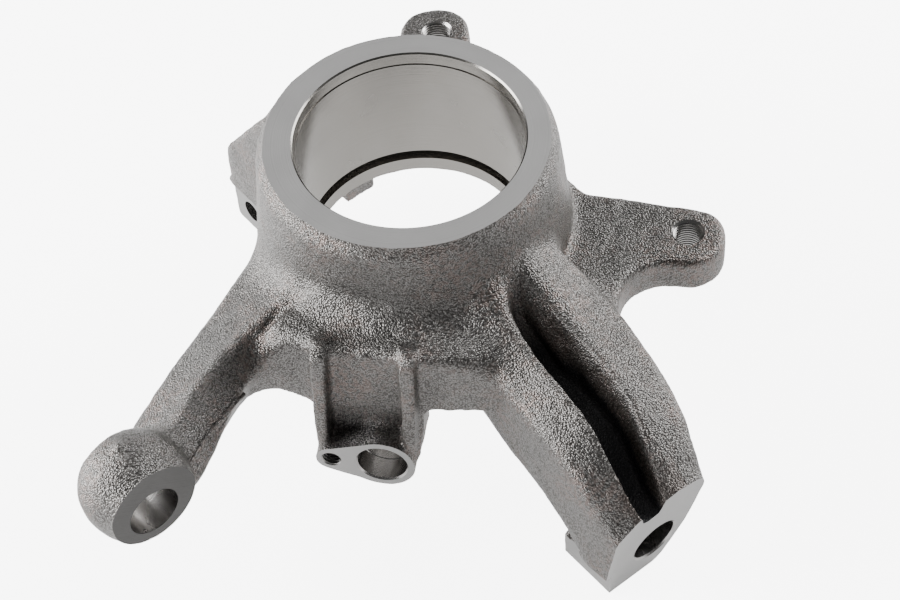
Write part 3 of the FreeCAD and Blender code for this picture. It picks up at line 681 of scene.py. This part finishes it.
def radius_lines(group, place):
    """Return the distance from the wheel axis."""
    flat = group.nodes.new("ShaderNodeVectorMath")
    flat.operation = "MULTIPLY"
    group.links.new(place, flat.inputs[0])
    flat.inputs[1].default_value = (1, 1, 0)
    length = group.nodes.new("ShaderNodeVectorMath")
    length.operation = "LENGTH"
    group.links.new(flat.outputs["Vector"], length.inputs[0])
    return length.outputs["Value"]


def marked(material, group, colour, roughness, strength):
    """Finish a machined material: marks move its colour and its normal, and a cloud its roughness."""
    tree = material.node_tree
    shader = tree.nodes["Principled BSDF"]
    node = use_group(tree, group)
    shader.inputs["Metallic"].default_value = 1.0
    low = tuple(MARK_SHADE * part for part in colour[:3]) + (1,)
    tree.links.new(mix_colour(tree, node.outputs["Marks"], low, colour), shader.inputs["Base Color"])
    swing = math_node(tree, "SUBTRACT", node.outputs["Cloud"], 0.5)
    swing = math_node(tree, "MULTIPLY", swing, CLOUD_SWING)
    tree.links.new(math_node(tree, "ADD", swing, roughness), shader.inputs["Roughness"])
    roughen(tree, shader, node.outputs["Marks"], strength, MARK_HEIGHT)


rings = marks_group("lathe_rings", radius_lines)
bore_lines = marks_group("bore_lines", lambda group, place: along(group, place, (0, 0, 1)))
king_lines = marks_group("king_lines", lambda group, place: along(group, place, KING))
mill_lines = marks_group("mill_lines", lambda group, place: along(group, place, MILL_FEED))
# A row is a finish, its marks, its colour, its roughness and the strength of its bump.
for row in (
        (turned_face, rings, (0.46, 0.455, 0.45, 1), 0.38, 0.5),
        (milled_face, mill_lines, (0.36, 0.355, 0.35, 1), 0.36, 0.35),
        (eye_face, mill_lines, (0.08, 0.078, 0.076, 1), 0.42, 0.5),
        (bored_wall, bore_lines, (0.28, 0.268, 0.25, 1), 0.24, 0.4),
        (reamed_wall, king_lines, (0.42, 0.41, 0.40, 1), 0.26, 0.4),
        (cut_thread, bore_lines, (0.36, 0.35, 0.34, 1), 0.30, 0.2)):
    marked(*row)


# Floor and light
# A plain pale floor just under the milled foot, and soft studio light. They aren't part of the knuckle.
# The floor glows mostly to the camera, so it looks pale and lights the knuckle only a little from below.
FLOOR_SIZE = 12.0
FLOOR_GAP = 0.2
PAPER_WHITE = (0.95, 0.95, 0.95, 1)
PAPER_ROUGHNESS = 0.9
PAPER_GLOW = 0.65
PAPER_SEEN_GLOW = 6.0
WHITE = (1, 1, 1, 1)
WORLD_STRENGTH = 0.12

bpy.ops.object.select_all(action="DESELECT")
bpy.ops.mesh.primitive_plane_add(size=FLOOR_SIZE, location=(0, 0, (END_FOOT - FLOOR_GAP) * MM))
floor = bpy.context.object
floor.name = "floor"
paper = plain_finish("studio_paper")
tree = paper.node_tree
shader = tree.nodes["Principled BSDF"]
shader.inputs["Base Color"].default_value = PAPER_WHITE
shader.inputs["Roughness"].default_value = PAPER_ROUGHNESS
shader.inputs["Emission Color"].default_value = WHITE
seen = tree.nodes.new("ShaderNodeLightPath").outputs["Is Camera Ray"]
glow = math_node(tree, "ADD", math_node(tree, "MULTIPLY", seen, PAPER_SEEN_GLOW), PAPER_GLOW)
tree.links.new(glow, shader.inputs["Emission Strength"])
floor.data.materials.append(paper)


def soft_light(name, place, size, power):
    """Make a square area light that points at the middle of the knuckle, in metres and watts."""
    bpy.ops.object.light_add(type="AREA", location=place)
    light = bpy.context.object
    light.name = name
    light.data.size = size
    light.data.energy = power
    light.rotation_euler = (-Vector(place)).to_track_quat("-Z", "Y").to_euler()


soft_light("key_light", (-1.74, 0.20, 0.64), 1.3, 88)
soft_light("rim_light", (1.4, 0.75, 0.80), 1.1, 44)
soft_light("back_light", (-0.05, 1.3, 1.5), 1.3, 6)
world = bpy.data.worlds.new("studio")
bpy.context.scene.world = world
world.use_nodes = True
world.node_tree.nodes["Background"].inputs["Color"].default_value = WHITE
world.node_tree.nodes["Background"].inputs["Strength"].default_value = WORLD_STRENGTH
